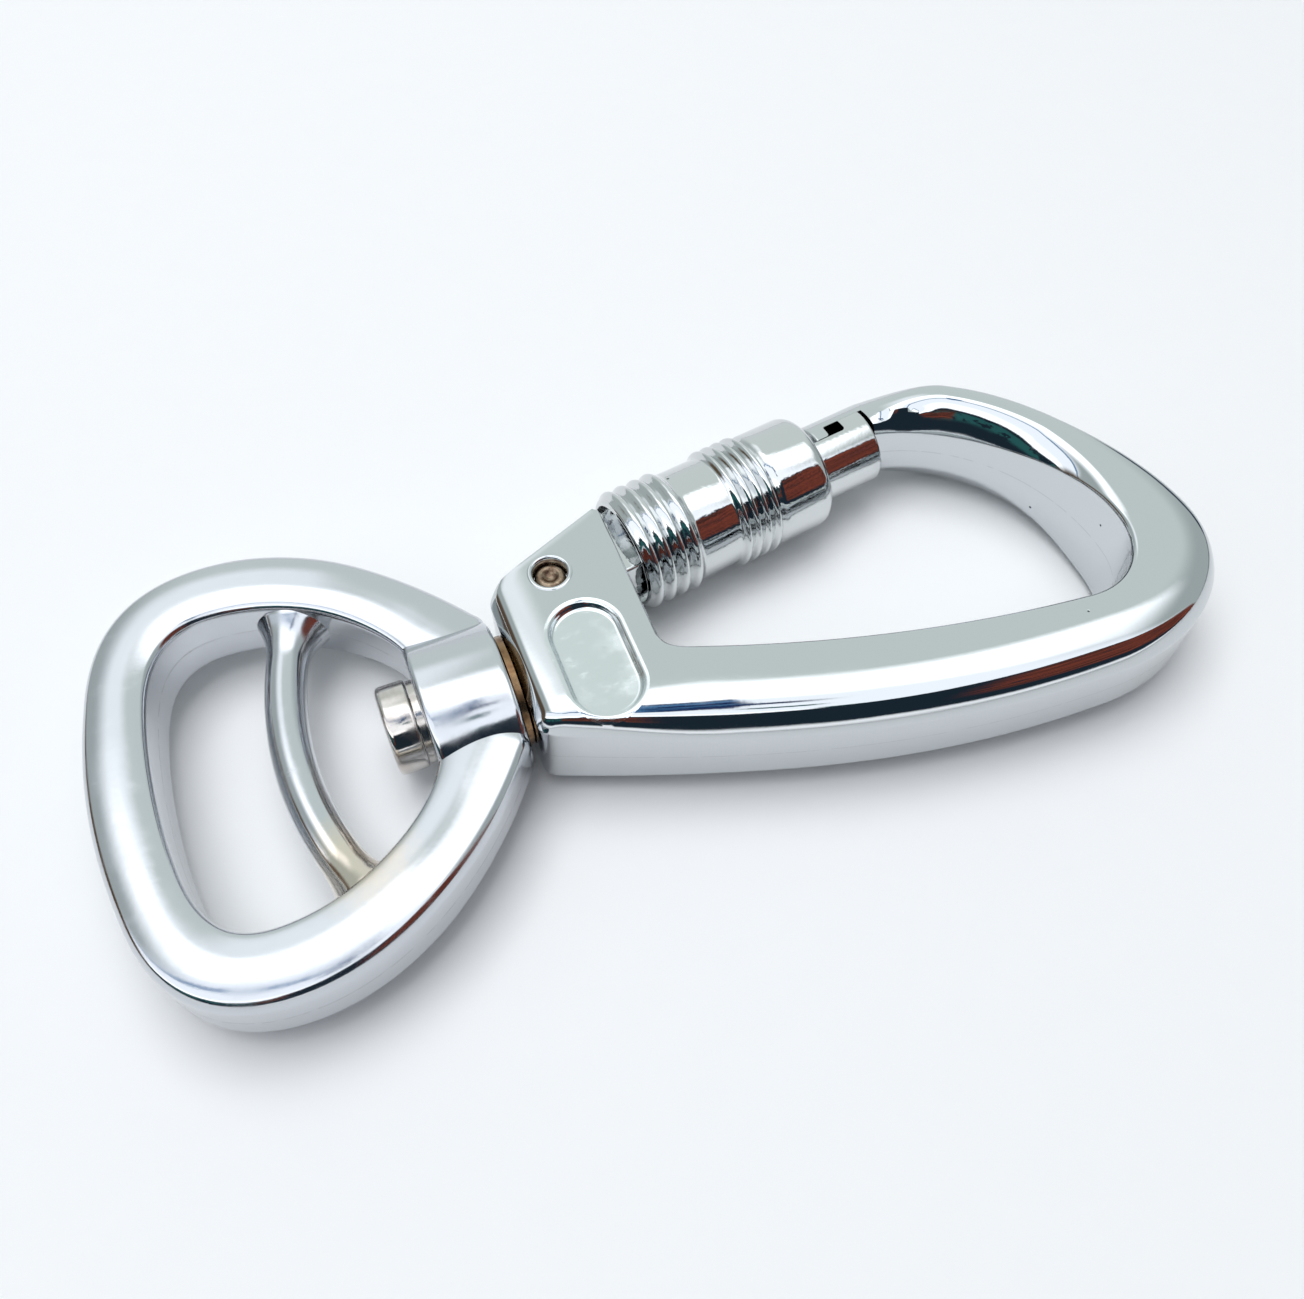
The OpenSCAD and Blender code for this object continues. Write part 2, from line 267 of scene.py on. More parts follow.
# %% The chrome material
def chrome(name, tint, haze=0.09, wave=1.6e-6, pits=0.5, ragged_wave=0.8,
           seam=0.0, polish=0.035, worn_at=None):
    """Plated metal. seam draws the casting's parting line at mid-height.

    worn_at is a spot, in the frame's metres, where webbing has worn the chrome
    down to the warmer nickel under it.
    """
    material = bpy.data.materials.new(name)
    g = Graph(material)
    where = g.place()

    cloud = g.between(g.noise(where, 170, 4, 0.6), 0.42, 0.72)
    rubbed = g.between(g.noise(g.stretched(where, (260, 700, 700), (0, 0, 0.5)), 1, 5, 0.7), 0.5, 0.8)
    peel = g.noise(where, 620, 1, 0.4)
    grain = g.noise(where, 5200, 2, 0.5)

    # Pin-holes: one small dot in a few of the cells
    cells = g.stretched(where, (420, 420, 420), (0.4, 0.3, 0.9))
    dot = g.node("ShaderNodeTexVoronoi", {}, {"Vector": cells, "Scale": 1}, "Distance")
    lot = g.node("ShaderNodeTexVoronoi", {}, {"Vector": cells, "Scale": 1}, "Color")
    chosen = g.node("ShaderNodeSeparateColor", {}, {"Color": lot}) > 1 - 0.16 * pits
    hole = (1 - g.between(dot, 0.035, 0.075)) * chosen

    # Nicks: the same idea in cells that are long in one direction
    long_cells = g.stretched(g.stretched(where, (1, 1, 1), (0.2, 0.5, 0.6)), (90, 520, 520))
    line = g.node("ShaderNodeTexVoronoi", {}, {"Vector": long_cells, "Scale": 1}, "Distance")
    pick = g.node("ShaderNodeTexVoronoi", {}, {"Vector": long_cells, "Scale": 1}, "Color")
    scratched = g.node("ShaderNodeSeparateColor", {}, {"Color": pick}, "Green") > 1 - 0.05 * pits
    ragged = line + (g.noise(where, 2600, 3, 0.7) - 0.5) * 0.2
    nick = (1 - g.between(ragged, 0.05, 0.11)) * scratched

    damage = g.between(hole + nick, 0.0, 1.0)
    height = peel + g.noise(where, 2300, 3, 0.6) * ragged_wave + grain * 0.012 - damage * 9.0
    if seam:
        up_axis = g.node("ShaderNodeSeparateXYZ", {}, {"Vector": where}, "Z")
        from_seam = g.node("ShaderNodeMath", {"operation": "ABSOLUTE"}, {0: up_axis - axis_height})
        parting = (1 - g.between(from_seam, 0.00003, 0.00011)) * g.between(g.noise(where, 900, 2), 0.3, 0.5)
        height = height + parting * seam
        damage = g.between(damage + parting * 0.25, 0.0, 1.0)

    bump = g.node("ShaderNodeBump", {}, {"Strength": 1.0, "Distance": wave, "Height": height})
    dirt = tuple(c * 0.16 for c in tint)
    plating = (*tint, 1)
    if worn_at:
        away = g.node("ShaderNodeVectorMath", {"operation": "DISTANCE"}, {0: where, 1: worn_at},
                      output="Value")
        rubbed_through = 1 - g.between(away + (g.noise(where, 700, 3, 0.6) - 0.5) * 0.003, 0.0015, 0.0055)
        plating = g.blend(rubbed_through * 0.8, plating, (0.80, 0.70, 0.57, 1))
    shader = g.node("ShaderNodeBsdfPrincipled", {}, {
        "Base Color": g.blend(damage, plating, (*dirt, 1)),
        "Metallic": 1.0,
        "Roughness": polish + cloud * haze * 0.55 + rubbed * haze * 0.6 + damage * 0.3,
        "Normal": bump,
    })
    g.node("ShaderNodeOutputMaterial", {}, {"Surface": shader})
    return material


cast_chrome = chrome("cast_chrome", (0.605, 0.63, 0.645), haze=0.07, seam=5.0)
eye_chrome = chrome("eye_chrome", (0.60, 0.62, 0.65), haze=0.22, wave=2.4e-6, ragged_wave=1.2,
                    seam=5.0, polish=0.11, worn_at=(-0.0275, -0.0105, 0.0070))
turned_chrome = chrome("turned_chrome", (0.64, 0.66, 0.665), haze=0.05, wave=1.4e-6, ragged_wave=7.0)
pad_chrome = chrome("pad_chrome", (0.72, 0.76, 0.77), haze=0.5)
print("chrome materials:", cast_chrome.name, eye_chrome.name, turned_chrome.name)

# %% [markdown]
# ## The small parts' finishes
# The hinge pin's riveted end has browned, the bolt is a warm grey steel, and the
# drag ring is rubber. The bush and washer are brass, painted dark brown as painted
# shade for the gap between the hub and the block. One recipe serves the metals: a
# base colour, a stain colour that noise spreads, and turning marks.

# %% Other finishes
def stained_metal(name, base, stain, roughness, amount=0.5, spread=700):
    """A metal with uneven tarnish."""
    material = bpy.data.materials.new(name)
    g = Graph(material)
    where = g.place()
    tarnish = g.between(g.noise(where, spread, 5, 0.65), 0.35, 0.7)
    marks = g.noise(g.stretched(where, (9000, 900, 900)), 1, 2, 0.6)
    bump = g.node("ShaderNodeBump", {}, {"Strength": 1.0, "Distance": 2e-6, "Height": marks + tarnish})
    shader = g.node("ShaderNodeBsdfPrincipled", {}, {
        "Base Color": g.blend(tarnish * amount, (*base, 1), (*stain, 1)),
        "Metallic": 1.0,
        "Roughness": roughness + tarnish * 0.15 + marks * 0.05,
        "Normal": bump,
    })
    g.node("ShaderNodeOutputMaterial", {}, {"Surface": shader})
    return material


def rubber(name):
    """Matt black rubber with a faint grain."""
    material = bpy.data.materials.new(name)
    g = Graph(material)
    grain = g.noise(g.place(), 6000, 3, 0.6)
    bump = g.node("ShaderNodeBump", {}, {"Strength": 1.0, "Distance": 4e-6, "Height": grain})
    shader = g.node("ShaderNodeBsdfPrincipled", {}, {
        "Base Color": g.blend(grain, (0.02, 0.02, 0.02, 1), (0.05, 0.05, 0.05, 1)),
        "Roughness": 0.55 + grain * 0.2,
        "Normal": bump,
    })
    g.node("ShaderNodeOutputMaterial", {}, {"Surface": shader})
    return material


pin_brown = stained_metal("pin_brown", (0.36, 0.28, 0.20), (0.10, 0.05, 0.03), 0.22, 0.9, 1500)
bolt_steel = stained_metal("bolt_steel", (0.66, 0.63, 0.60), (0.42, 0.34, 0.29), 0.05, 0.35)
spring_steel = stained_metal("spring_steel", (0.42, 0.42, 0.43), (0.2, 0.19, 0.18), 0.25)
# Brass painted dark brown: painted shade for the gap between the hub and the block
brass = stained_metal("brass", (0.30, 0.19, 0.10), (0.12, 0.06, 0.03), 0.2, 0.8)
seal_rubber = rubber("seal_rubber")

for node, finish in {
    "gate_plunger": spring_steel, "gate_spring": spring_steel, "stop_ring": spring_steel,
    "drag_ring": seal_rubber, "hub_bush": brass, "thrust_washer": brass, "head_washer": bolt_steel,
}.items():
    cad_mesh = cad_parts[node].data
    if not cad_mesh.materials:
        cad_mesh.materials.append(None)
    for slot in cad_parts[node].material_slots:
        slot.material = finish
    print(node, "->", finish.name)

# %% [markdown]
# ## How a cast bar is drawn
# The hook and the eye are bars of one kind: flat or gently domed on top,
# rounded at the shoulders, upright at the sides, and the same below the
# parting line. So one helper draws the rise from the parting line, up one wall
# and round its shoulder to the dome's crown, and another lays such sections
# between an outer and an inner line. The sheet starts as a plain grid, which is
# wrapped round the bar and mirrored at the parting line.

# %% One side of a bar's section
def rise(side, top):
    """(distance from the wall, height) pairs, from the parting line to the crown.

    side holds the shoulder's reach and drop, then the dome's width, the slopes
    in degrees at its two edges, and the width of the brow that levels it off.
    """
    reach, drop, dome, steep, flat, brow = side
    steep, flat = math.tan(math.radians(steep)), math.tan(math.radians(flat))
    dome_rise = dome * (steep + flat) / 2
    top_of_dome = top - brow * flat / 2
    last = math.atan2(drop, reach * max(steep, 1e-3))
    start = top_of_dome - dome_rise - drop * math.sin(last)
    if start < 0.05:
        drop *= (top_of_dome - dome_rise - 0.05) / (drop * math.sin(last))
        start = 0.05
    line = [(0, 0), (0, start)]
    for k in range(1, 10):
        angle = last * k / 9
        line.append((reach * (1 - math.cos(angle)), start + drop * math.sin(angle)))
    corner_x, corner_z = line[-1]
    for k in range(1, 8):
        x = dome * k / 7
        line.append((corner_x + x, corner_z + steep * x - (steep - flat) * x * x / (2 * dome)))
    edge_x, edge_z = line[-1]
    for k in range(1, 8):
        x = brow * k / 7
        line.append((edge_x + x, edge_z + flat * x - flat * x * x / (2 * brow)))
    return line


def section(outer, inner, width, top):
    """A whole half-section, from the outer wall's foot over to the inner wall's."""
    near, far = rise(outer, top), rise(inner, top)
    span = near[-1][0] + far[-1][0]
    squeeze = min(1.0, width * 0.985 / span)
    near = [(d * squeeze, z) for d, z in near]
    far = [(width - d * squeeze, z) for d, z in far]
    (a, za), (b, zb) = near[-1], far[-1]
    middle = [(a + (b - a) * k / 3, za + (zb - za) * k / 3) for k in (1, 2)]
    return near + middle + far[::-1]


# %% Lines made of cubic stretches
def cubic_line(*stretches):
    """Joins cubic curves, each given as its two ends and two handles."""
    line = []
    for a, b, c, d in stretches:
        points = interpolate_bezier(*(Vector((*p, 0)) for p in (a, b, c, d)), 49)
        line += points if not line else points[1:]
    return line


def along(line, marks, counts):
    """Points along a line: each count of steps is spread evenly between two marks."""
    travelled = [0.0]
    for a, b in zip(line, line[1:]):
        travelled.append(travelled[-1] + (b - a).length)

    def at(distance):
        for k in range(1, len(line)):
            if travelled[k] >= distance:
                step = travelled[k] - travelled[k - 1]
                share = (distance - travelled[k - 1]) / step if step else 0
                return line[k - 1].lerp(line[k], share)
        return line[-1].copy()

    stops = []
    for mark in marks:
        nearest = min(range(len(line)), key=lambda k: (line[k] - Vector((*mark, 0))).length)
        stops.append(travelled[nearest])
    stops[0], stops[-1] = 0.0, travelled[-1]
    places = [a + (b - a) * k / count
              for a, b, count in zip(stops, stops[1:], counts) for k in range(count)]
    return [at(place) for place in places + [travelled[-1]]]


# %% A grid wrapped round a bar
def wrap_bar(name, outer_line, inner_line, sections):
    """Lays one half-section at each station of the two lines, then mirrors."""
    stations, count = len(outer_line), len(sections[0])
    bm = bmesh.new()
    bmesh.ops.create_grid(bm, x_segments=stations - 1, y_segments=count - 1, size=1)
    for vert in bm.verts:
        i = round((vert.co.x + 1) / 2 * (stations - 1))
        j = round((vert.co.y + 1) / 2 * (count - 1))
        distance, height = sections[i][j]
        across = inner_line[i] - outer_line[i]
        spot = outer_line[i] + across * (distance / across.length)
        vert.co = (spot.x, spot.y, height)
    bmesh.ops.mirror(bm, geom=bm.verts[:] + bm.edges[:] + bm.faces[:],
                     matrix=Matrix.Identity(4), merge_dist=1e-4, axis="Z")
    tidy_normals(bm, 40)
    return new_object(name, bm)


def mixed(table, place):
    """Values between the rows of a table of (place, values)."""
    for (a, low), (b, high) in zip(table, table[1:]):
        if place <= b:
            share = (place - a) / (b - a)
            return [x + (y - x) * share for x, y in zip(low, high)]
    return list(table[-1][1])


def eased(table, place, reach=7):
    """The same, averaged over nearby places so that no row shows as a kink."""
    rows = [mixed(table, max(0, place + k)) for k in range(-reach, reach + 1)]
    return [sum(column) / len(rows) for column in zip(*rows)]


# %% [markdown]
# ## The hook's casting
# The hook runs from its base block, round a tight corner, along the straight
# back, round the far bend and back to the nose. The outer line follows the end
# face and the back, the inner line follows the block's wall and the bow. Along
# the back the crown sits near the bow and a wide dome falls outwards. Along the
# far arm the bow side falls away in a wide slope, which is kinder to a rope.

# %% The hook's two lines
def gate_point(along_bar, across):
    spot = GATE @ Vector((along_bar, across, 0))
    return (spot.x, spot.y)


SHOULDER = 32.5
nose_out, nose_in = gate_point(SHOULDER, 5.4), gate_point(SHOULDER, 0.5)
nose_lead = gate_point(SHOULDER + 2.5, 5.4)
back_start, back_end, far_side, arm_end = (0.9, -6.7), (44, -17), (57.2, -7), (45, 13.4)
hook_outer = cubic_line(
    ((0.7, 7), (0.2, 6.6), (0, 6.2), (0, 5.6)),
    ((0, 5.6), (0, 2), (0, -2), (0, -5.4)),
    ((0, -5.4), (0, -6), (0.3, -6.4), back_start),
    (back_start, (14.5, -12.6), (28, -17), back_end),
    (back_end, (51, -17), (57.2, -13), far_side),
    (far_side, (57.2, -1.5), (52.2, 9.2), arm_end),
    (arm_end, (43.2, 14.6), nose_lead, nose_out))
hook_inner = cubic_line(
    ((10.2, 11.2), (10.7, 11.3), (11, 11.1), (11, 10.6)),
    ((11, 10.6), (11, 7), (11, 2), (11, -1.9)),
    ((11, -1.9), (11, -3.5), (12.6, -3.85), (14.2, -4.4)),
    ((14.2, -4.4), (24, -7.95), (34, -10.1), (43.5, -10.9)),
    ((43.5, -10.9), (47.4, -11.4), (50.4, -8.8), (50.4, -4.8)),
    ((50.4, -4.8), (50.4, 3.8), (44.5, 10.6), nose_in))

counts = (30, 44, 56, 44, 50, 26)
outer_marks = ((0.7, 7), (0, -4.2), (14, -11.3), back_end, far_side, arm_end, nose_out)
inner_marks = ((10.2, 11.2), (11, -0.9), (15, -4.7), (43.5, -10.9), (50.4, -4.8), (43, 9.9), nose_in)
outer_line = along(hook_outer, outer_marks, counts)
inner_line = along(hook_inner, inner_marks, counts)
print("stations on the hook:", len(outer_line), len(inner_line))

# %% Its sections
HALF = 5.0
STEPS = [sum(counts[:k]) for k in range(len(counts) + 1)]
# Station, then for the outer side and the inner side: reach and drop of the
# shoulder, width and two slopes of the dome, width of the brow
hook_shoulders = [
    (0, [0.3, 0.4, 1.25, 60, 11, 2.3, 0.35, 0.35, 0.3, 2, 0, 0.2]),
    (STEPS[1], [0.3, 0.4, 1.3, 60, 12, 2.6, 0.4, 0.4, 0.3, 3, 0, 0.2]),
    (STEPS[1] + 14, [0.3, 0.4, 1.4, 61, 15, 2.2, 0.45, 0.45, 0.3, 3, 0, 0.2]),
    (STEPS[2], [0.3, 0.4, 1.5, 62, 22, 2.3, 0.5, 0.6, 0.4, 4, 0, 0.2]),
    (STEPS[3], [0.3, 0.4, 1.5, 62, 23, 2.5, 0.6, 0.7, 0.5, 6, 0, 0.3]),
    (STEPS[4], [0.4, 0.8, 0.9, 66, 22, 2.4, 0.5, 0.7, 0.3, 20, 8, 0.3]),
    (STEPS[4] + 14, [0.4, 0.9, 0.9, 64, 18, 1.6, 0.3, 0.6, 0.8, 58, 34, 0.6]),
    (STEPS[4] + 34, [0.4, 0.9, 0.9, 62, 16, 1.4, 0.3, 0.6, 1.5, 62, 39, 0.9]),
    (STEPS[5], [0.4, 0.9, 0.9, 62, 16, 1.2, 0.3, 0.6, 1.7, 62, 40, 0.9]),
    (STEPS[6], [0.4, 0.9, 0.8, 62, 16, 0.9, 0.3, 0.6, 1.6, 62, 40, 0.8]),
]
NOSE_RADIUS = 3.4


def end_height(distance, reach, drop, top):
    """How high a rounded end is, at a distance from its face."""
    if distance >= reach:
        return top
    return top - drop * (1 - math.sqrt(1 - (1 - distance / reach) ** 2))


hook_sections = []
for i, (a, b) in enumerate(zip(outer_line, inner_line)):
    values = eased(hook_shoulders, i)
    shape = section(values[:6], values[6:], (b - a).length, HALF)
    from_block_end = sum((q - p).length for p, q in zip(inner_line[:i], inner_line[1:i + 1]))
    from_nose = sum((q - p).length for p, q in zip(outer_line[i:], outer_line[i + 1:]))
    limit = end_height(from_block_end, 0.7, 0.7, HALF)
    shape = [(d, min(z, limit)) for d, z in shape]
    # Over its last stretch the arm thins down to the round nose
    thinned = []
    for d, z in shape:
        neck = max(0.0, 1 - from_nose / (9.0 if d < NOSE_RADIUS else 4.5))
        bar = math.sqrt(max(0.0, NOSE_RADIUS ** 2 - (d - NOSE_RADIUS) ** 2))
        thinned.append((d, z + (min(z, bar) - z) * neck * neck * (3 - 2 * neck)))
    hook_sections.append(thinned)

# Both ends close with a face that drops to the parting line
for line in (outer_line, inner_line):
    line.insert(0, line[0].copy())
    line.append(line[-1].copy())
hook_sections.insert(0, [(d, 0.0) for d, z in hook_sections[0]])
hook_sections.append([(d, 0.0) for d, z in hook_sections[-1]])
casting = wrap_bar("hook_casting", outer_line, inner_line, hook_sections)
print("casting faces:", len(casting.data.polygons))

# %% [markdown]
# ## Holes in the hook
# The fork slot, the pin's hole, the bolt's blind hole, the plunger's bore and
# the places for the pad and the pin's dished ring are cut with booleans. A
# cutter is a simple block or round bar that reaches past the face it cuts.

# %% Cutters
def round_cutter(radius, length, matrix, segments=64, radius_end=None):
    """A round bar along its own z, from 0 to length, then placed."""
    bm = bmesh.new()
    bmesh.ops.create_cone(bm, cap_ends=True, segments=segments, radius1=radius,
                          radius2=radius if radius_end is None else radius_end, depth=length,
                          matrix=matrix @ Matrix.Translation((0, 0, length / 2)))
    bmesh.ops.recalc_face_normals(bm, faces=bm.faces)
    return new_object("cutter", bm)


def plate_cutter(corners, low, high, matrix=Matrix.Identity(4), soften=0):
    """A flat plate with a drawn outline, extruded from one height to another."""
    bm = bmesh.new()
    outline = [bm.verts.new((x, y, low)) for x, y in corners]
    base = bm.faces.new(outline)
    grown = bmesh.ops.extrude_face_region(bm, geom=[base])
    raised = [v for v in grown["geom"] if isinstance(v, bmesh.types.BMVert)]
    bmesh.ops.translate(bm, verts=raised, vec=(0, 0, high - low))
    if soften:
        upright_edges = [e for e in bm.edges if abs(e.verts[0].co.z - e.verts[1].co.z) > 1e-3]
        bmesh.ops.bevel(bm, geom=upright_edges, offset=soften, offset_type="OFFSET", segments=5,
                        profile=0.5, affect="EDGES", material=-1)
    bmesh.ops.transform(bm, verts=bm.verts, matrix=matrix)
    bmesh.ops.recalc_face_normals(bm, faces=bm.faces)
    return new_object("cutter", bm)


def stadium(centre, half_straight, radius, steps=28):
    """The outline of a slot with round ends, which lies along y."""
    points = []
    for end in (1, -1):
        for k in range(steps + 1):
            angle = math.pi * k / steps + (0 if end > 0 else math.pi)
            points.append((centre[0] + radius * math.cos(angle),
                           centre[1] + end * half_straight + radius * math.sin(angle)))
    return points


PAD_CENTRE, PAD_STRAIGHT, PAD_RADIUS, LIP = (5.9, -2.4), 2.4, 2.75, 0.42
PIN_RADIUS, DISH_RADIUS = 1.25, 1.8
BOLT_HOLE, PLUNGER_BORE = 2.02, 1.27
gate_open = math.radians(28)
# The slot's floor clears the tongue when the gate is fully open
FLOOR_DEPTH, FLOOR_LENGTH = 1.65, 9
back = Vector((-math.sin(gate_open), -math.cos(gate_open))) * FLOOR_DEPTH
reach_x = back.x + FLOOR_LENGTH * math.cos(gate_open)
reach_y = back.y - FLOOR_LENGTH * math.sin(gate_open)
slot_corners = [(-2.9, 1.2), (-2.2, -1.4), (back.x, back.y), (reach_x, reach_y), (11, 0), (9, 9), (-3.6, 9)]

casting_surface = bmesh.new()
casting_surface.from_mesh(casting.data)
skin = BVHTree.FromBMesh(casting_surface)
casting_surface.free()

turn_to_x = Matrix.Rotation(math.pi / 2, 4, "Y")
carve(casting, [
    plate_cutter(slot_corners, -2.6, 2.6, GATE),
    plate_cutter(stadium(PAD_CENTRE, PAD_STRAIGHT, PAD_RADIUS + LIP), HALF - 1.2, HALF + 1),
    round_cutter(DISH_RADIUS, 2, Matrix.Translation((*PIVOT.xy, HALF - 1))),
    round_cutter(DISH_RADIUS, 2, Matrix.Translation((*PIVOT.xy, -HALF - 1))),
    round_cutter(PIN_RADIUS + 0.02, 12, Matrix.Translation((*PIVOT.xy, -6))),
    round_cutter(BOLT_HOLE, 8.2, Matrix.Translation((-1, 0, 0)) @ turn_to_x),
    round_cutter(PLUNGER_BORE, 9.8, Matrix.Translation((9, -3.8, 0)) @ Matrix.Rotation(-math.pi / 2, 4, "X")),
])
print("casting faces after carving:", len(casting.data.polygons))

# %% [markdown]
# ## The pad and the dished ring
# The blank pad sinks into the block behind a softly rolled lip. A boolean
# leaves a knife edge there, so the lip is drawn as its own ring of loops: the
# outer loop lies exactly on the casting's surface, found with a ray from above,
# and each loop further in sits a little lower. The pin's dished ring is made in
# the same way on both faces.

# %% Loops that drop from the surface
def sunk_ring(name, outline_at, drops, face=1):
    """A ring of loops. drops holds (distance inside the cut's edge, depth) pairs."""
    bm = bmesh.new()
    loops = []
    for inset, depth in drops:
        loop = []
        for x, y in outline_at(inset):
            hit = skin.ray_cast(Vector((x, y, 20)), Vector((0, 0, -1)))[0]
            surface = hit.z if hit else HALF
            # The deeper a loop lies, the more it follows one level floor
            level = surface + (HALF - surface) * min(1.0, max(0.0, depth) / 0.5)
            loop.append(bm.verts.new((x, y, face * (level - depth))))
        edges = [bm.edges.new((loop[k], loop[(k + 1) % len(loop)])) for k in range(len(loop))]
        if loops:
            bmesh.ops.bridge_loops(bm, edges=loops[-1] + edges)
        loops.append(edges)
    tidy_normals(bm, 60)
    for f in bm.faces:
        if f.normal.z * face < -1e-3:
            f.normal_flip()
    return new_object(name, bm)


def pad_outline(inset):
    return stadium(PAD_CENTRE, PAD_STRAIGHT, PAD_RADIUS + LIP - inset)


def dish_outline(inset):
    radius = DISH_RADIUS - inset
    return [(PIVOT.x + radius * math.cos(2 * math.pi * k / 72),
             PIVOT.y + radius * math.sin(2 * math.pi * k / 72)) for k in range(72)]


pad = sunk_ring("blank_pad", pad_outline, [
    (0, 0), (0.1, 0.01), (0.2, 0.035), (0.3, 0.08), (0.38, 0.14), (0.46, 0.24), (0.52, 0.34),
    (0.58, 0.43), (0.65, 0.5), (0.75, 0.54), (0.9, 0.55), (1.8, 0.55), (PAD_RADIUS + LIP, 0.55)])
dish_steps = [(0, 0), (0.07, -0.045), (0.17, -0.075), (0.27, -0.06), (0.36, 0.01),
              (0.42, 0.12), (0.47, 0.3), (0.5, 0.5), (0.51, 1.2)]
dishes = [sunk_ring("dish", dish_outline, dish_steps, face=face) for face in (1, -1)]
print("pad faces:", len(pad.data.polygons), "dish faces:", len(dishes[0].data.polygons))

# %% [markdown]
# ## The nose
# The nose is the outer half of a round bar in line with the gate. A tooth at
# its tip drops behind the gate's head, so the gate cannot be pulled off it. It
# is a cylinder with rounded edges, kept where two plates overlap it.

# %% A rounded bar and the nose
BAR_RADIUS = 3.5


def rounded_bar(name, start, end, radius, edge_start=0.0, edge_end=0.0, segments=96):
    """A bar on the gate's centre line, with its end edges rolled over."""
    bm = bmesh.new()
    length = end - start
    lay = BAR @ Matrix.Translation((start + length / 2, 0, 0)) @ turn_to_x
    bmesh.ops.create_cone(bm, cap_ends=True, segments=segments, radius1=radius, radius2=radius,
                          depth=length, matrix=lay)
    for x, size in ((start, edge_start), (end, edge_end)):
        if size:
            there = [e for e in bm.edges
                     if all(abs((BAR.inverted() @ v.co).x - x) < 1e-3 for v in e.verts)]
            bmesh.ops.bevel(bm, geom=there, offset=size, offset_type="OFFSET", segments=6,
                            profile=0.5, affect="EDGES", material=-1)
    tidy_normals(bm)
    return new_object(name, bm)


TOOTH_END, NECK_START, HEAD_START, GATE_LENGTH, NOSE_TIP = 28.3, 25.7, 29.9, 32.0, 27.0
nose = rounded_bar("nose", NOSE_TIP, SHOULDER + 1.5, NOSE_RADIUS, edge_start=0.25)
carve(nose, [plate_cutter(
    [(NOSE_TIP - 1, -0.2), (TOOTH_END, -0.2), (TOOTH_END + 0.1, 0.95),
     (SHOULDER + 0.6, 0.95), (SHOULDER + 0.6, 5), (NOSE_TIP - 1, 5)],
    -6, 6, BAR, soften=0.22)], operation="INTERSECT")
merge_pieces(casting, [*dishes, nose])
place(casting, "hook", "chrome_casting", cast_chrome, "hook_body")
place(pad, "hook", "chrome_casting", pad_chrome)

# %% [markdown]
# ## The gate
# The gate is a round bar with a flat tongue on the hinge pin. Its head is cut
# back to pass under the nose, and a small pocket takes the nose's tooth.

# %% The gate
gate = rounded_bar("gate_bar", 9.5, GATE_LENGTH + 0.2, BAR_RADIUS, edge_start=0.2, edge_end=0.3)
tongue_outline = [(-2.6, 0.0), (-2.45, -0.9), (-1.9, -1.8), (-1.0, -2.4), (0, -2.6)]
tongue_low, tongue_high = BAR_OFFSET - 3.4, BAR_OFFSET + 3.4
tongue = plate_cutter(
    [(0, tongue_low - 1.2), (1.0, tongue_low - 0.9), (1.9, tongue_low), (10.5, tongue_low),
     (10.5, tongue_high), (8.6, tongue_high), (-0.8, 2.47), (-1.7, 1.97), (-2.4, 1.0)] + tongue_outline,
    -2.5, 2.5, GATE)
tongue_mesh = bmesh.new()
tongue_mesh.from_mesh(tongue.data)
bmesh.ops.remove_doubles(tongue_mesh, verts=tongue_mesh.verts, dist=1e-3)
rims = [e for e in tongue_mesh.edges if abs(e.verts[0].co.z - e.verts[1].co.z) < 1e-4]
bmesh.ops.bevel(tongue_mesh, geom=rims, offset=0.3, offset_type="OFFSET", segments=4,
                profile=0.5, affect="EDGES", material=-1)
tidy_normals(tongue_mesh)
tongue_mesh.to_mesh(tongue.data)
tongue_mesh.free()
carve(gate, [tongue], operation="UNION")
carve(gate, [
    plate_cutter([(NECK_START, -0.35), (HEAD_START, -0.35), (HEAD_START, 5), (NECK_START, 5)], -6, 6, BAR,
                 soften=0.3),
    plate_cutter([(HEAD_START - 0.01, 0.85), (40, 0.85), (40, 5), (HEAD_START - 0.01, 5)], -6, 6, BAR),
    round_cutter(PIN_RADIUS + 0.06, 12, Matrix.Translation((*PIVOT.xy, -6))),
])
place(gate, "gate", "chrome_turned", turned_chrome, "gate")

# %% [markdown]
# ## Turned parts
# The sleeve, the pin and the bolt are turned on a lathe, and `spin` is the
# lathe: half of the part's section is drawn as a line of edges and carried once
# round its axis. The sleeve's two groups of grip rings are rows of soft humps.

# %% A lathe
def turned(name, profile, matrix, steps=112, closed=True):
    """Spins (along the axis, radius) points round the x axis, then places them."""
    bm = bmesh.new()
    verts = [bm.verts.new((x, radius, 0)) for x, radius in profile]
    pairs = list(zip(verts, verts[1:])) + ([(verts[-1], verts[0])] if closed else [])
    edges = [bm.edges.new(pair) for pair in pairs]
    bmesh.ops.spin(bm, geom=verts + edges, cent=(0, 0, 0), axis=(1, 0, 0), dvec=(0, 0, 0),
                   angle=2 * math.pi, steps=steps, use_merge=True, use_duplicate=False)
    bmesh.ops.transform(bm, verts=bm.verts, matrix=matrix)
    tidy_normals(bm, 50)
    return new_object(name, bm)


def rolled(a, corner, b, steps=6):
    """A rounded corner between two points of a profile."""
    line = []
    for k in range(steps + 1):
        t = k / steps
        line.append(tuple((1 - t) ** 2 * p + 2 * t * (1 - t) * q + t * t * r
                          for p, q, r in zip(a, corner, b)))
    return line


def humps(start, pitch, count, low, high, steps=10):
    """A row of grip rings: round crests with narrow grooves between them."""
    return [(start + pitch * (n + k / steps), low + (high - low) * math.sin(math.pi * k / steps) ** 1.3)
            for n in range(count) for k in range(steps)]


